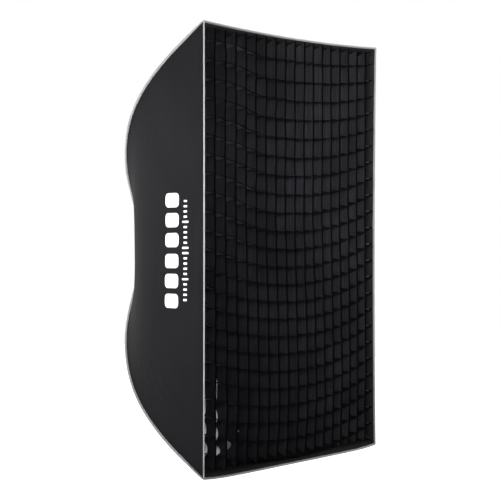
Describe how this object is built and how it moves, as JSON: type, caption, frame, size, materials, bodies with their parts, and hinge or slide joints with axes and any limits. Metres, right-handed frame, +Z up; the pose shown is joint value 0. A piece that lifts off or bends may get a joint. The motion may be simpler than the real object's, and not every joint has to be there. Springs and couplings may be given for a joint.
{
  "type": "rectangular softbox",
  "caption": "Rectangular folding softbox with hinged ribs, fabric shell, egg-crate grid, diffusers and a rotating lugged lamp mount.",
  "frame": {"origin": "centre of the mounting ring's rear seat, on the lamp's axis", "axes": "+Y back towards the lamp along the ring's axis, so light leaves along -Y; +Z up along the mouth's long side; +X to the right seen from in front looking along +Y"},
  "size_m": [0.9042, 0.5268, 1.2042],
  "materials": {
    "cloth_black": "fine black nylon weave, slight sheen",
    "tape_grey": "woven light grey binding tape",
    "tape_black": "black hook and loop tape",
    "grid_black": "black woven strips",
    "diffuser_white": "white translucent cloth",
    "ring_metal": "satin black paint on pressed and cast metal",
    "bayonet_steel": "brushed, plated",
    "nylon_black": "moulded glass-filled nylon",
    "nylon_white": "plain moulded nylon",
    "rib_rod": "pultruded glass-fibre rod, black",
    "button_red": "moulded, fine spark texture",
    "pin_steel": "zinc-plated"
  },
  "bodies": {
    "bayonet": {"mount_ring": "bayonet_steel", "retaining_ring": "ring_metal", "grub_screws": "pin_steel", "bearing_ring": "nylon_white"},
    "hub": {"hub_ring": "nylon_black", "hub_pins": "pin_steel", "hem_ring": "tape_grey", "loop_tape": "tape_black", "front_diffuser": "diffuser_white", "diffuser_border": "tape_black", "inner_diffuser": "diffuser_white", "inner_border": "tape_black", "inner_tabs": "tape_black", "grid_lattice": "grid_black", "grid_border": "tape_black", "panel_left": "cloth_black", "rim_left": "tape_grey", "panel_right": "cloth_black", "rim_right": "tape_grey", "panel_top": "cloth_black", "rim_top": "tape_grey", "panel_bottom": "cloth_black", "rim_bottom": "tape_grey", "ridge_tr": "tape_grey", "ridge_tl": "tape_grey", "ridge_bl": "tape_grey", "ridge_br": "tape_grey"},
    "runner": {"runner_ring": "nylon_black"},
    "button_right": {"button_right": "button_red"},
    "button_left": {"button_left": "button_red"},
    "rib_tr": {"rib_rod_tr": "rib_rod", "rib_root_tr": "nylon_black", "saddle_tr": "nylon_black", "rib_tip_tr": "nylon_black", "pocket_tr": "tape_black"},
    "stretcher_tr": {"stretcher_tr": "ring_metal", "pivot_pins_tr": "pin_steel"},
    "rib_tl": {"rib_rod_tl": "rib_rod", "rib_root_tl": "nylon_black", "saddle_tl": "nylon_black", "rib_tip_tl": "nylon_black", "pocket_tl": "tape_black"},
    "stretcher_tl": {"stretcher_tl": "ring_metal", "pivot_pins_tl": "pin_steel"},
    "rib_bl": {"rib_rod_bl": "rib_rod", "rib_root_bl": "nylon_black", "saddle_bl": "nylon_black", "rib_tip_bl": "nylon_black", "pocket_bl": "tape_black"},
    "stretcher_bl": {"stretcher_bl": "ring_metal", "pivot_pins_bl": "pin_steel"},
    "rib_br": {"rib_rod_br": "rib_rod", "rib_root_br": "nylon_black", "saddle_br": "nylon_black", "rib_tip_br": "nylon_black", "pocket_br": "tape_black"},
    "stretcher_br": {"stretcher_br": "ring_metal", "pivot_pins_br": "pin_steel"}
  },
  "joints": [
    {"name": "hub_turn", "type": "hinge", "parent": "bayonet", "child": "hub", "pos_m": [0, -0.016, 0], "axis": [0, 1, 0], "continuous": true},
    {"name": "runner_slide", "type": "slide", "parent": "hub", "child": "runner", "axis": [0, -1, 0], "range_m": [0, 0.20372], "deforming": ["loop_tape", "front_diffuser", "diffuser_border", "inner_diffuser", "inner_border", "inner_tabs", "grid_lattice", "grid_border", "panel_left", "rim_left", "panel_right", "rim_right", "panel_top", "rim_top", "panel_bottom", "rim_bottom", "ridge_tr", "ridge_tl", "ridge_bl", "ridge_br"]},
    {"name": "rib_fold_tr", "type": "hinge", "parent": "hub", "child": "rib_tr", "pos_m": [0.048, -0.0245, 0.064], "axis": [0.8, 0, -0.6], "range_deg": [0, 50]},
    {"name": "stretcher_pivot_tr", "type": "hinge", "parent": "rib_tr", "child": "stretcher_tr", "pos_m": [0.1347, -0.04922, 0.1796], "axis": [-0.8, 0, 0.6], "range_deg": [0, 100]},
    {"name": "rib_fold_tl", "type": "hinge", "parent": "hub", "child": "rib_tl", "pos_m": [-0.048, -0.0245, 0.064], "axis": [0.8, 0, 0.6], "range_deg": [0, 50]},
    {"name": "stretcher_pivot_tl", "type": "hinge", "parent": "rib_tl", "child": "stretcher_tl", "pos_m": [-0.1347, -0.04922, 0.1796], "axis": [-0.8, 0, -0.6], "range_deg": [0, 100]},
    {"name": "rib_fold_bl", "type": "hinge", "parent": "hub", "child": "rib_bl", "pos_m": [-0.048, -0.0245, -0.064], "axis": [-0.8, 0, 0.6], "range_deg": [0, 50]},
    {"name": "stretcher_pivot_bl", "type": "hinge", "parent": "rib_bl", "child": "stretcher_bl", "pos_m": [-0.1347, -0.04922, -0.1796], "axis": [0.8, 0, -0.6], "range_deg": [0, 100]},
    {"name": "rib_fold_br", "type": "hinge", "parent": "hub", "child": "rib_br", "pos_m": [0.048, -0.0245, -0.064], "axis": [-0.8, 0, -0.6], "range_deg": [0, 50]},
    {"name": "stretcher_pivot_br", "type": "hinge", "parent": "rib_br", "child": "stretcher_br", "pos_m": [0.1347, -0.04922, -0.1796], "axis": [0.8, 0, 0.6], "range_deg": [0, 100]},
    {"name": "button_press_right", "type": "slide", "parent": "runner", "child": "button_right", "axis": [-1, 0, 0], "range_m": [0, 0.0025], "stiffness_N_per_m": 600, "springref_m": -0.002},
    {"name": "button_press_left", "type": "slide", "parent": "runner", "child": "button_left", "axis": [1, 0, 0], "range_m": [0, 0.0025], "stiffness_N_per_m": 600, "springref_m": -0.002}
  ],
  "couplings": [
    {"joint": "rib_fold_tr", "follows": "runner_slide", "rad_per_m": 4.2836},
    {"joint": "stretcher_pivot_tr", "follows": "runner_slide", "rad_per_m": 8.5672},
    {"joint": "rib_fold_tl", "follows": "runner_slide", "rad_per_m": 4.2836},
    {"joint": "stretcher_pivot_tl", "follows": "runner_slide", "rad_per_m": 8.5672},
    {"joint": "rib_fold_bl", "follows": "runner_slide", "rad_per_m": 4.2836},
    {"joint": "stretcher_pivot_bl", "follows": "runner_slide", "rad_per_m": 8.5672},
    {"joint": "rib_fold_br", "follows": "runner_slide", "rad_per_m": 4.2836},
    {"joint": "stretcher_pivot_br", "follows": "runner_slide", "rad_per_m": 8.5672}
  ]
}
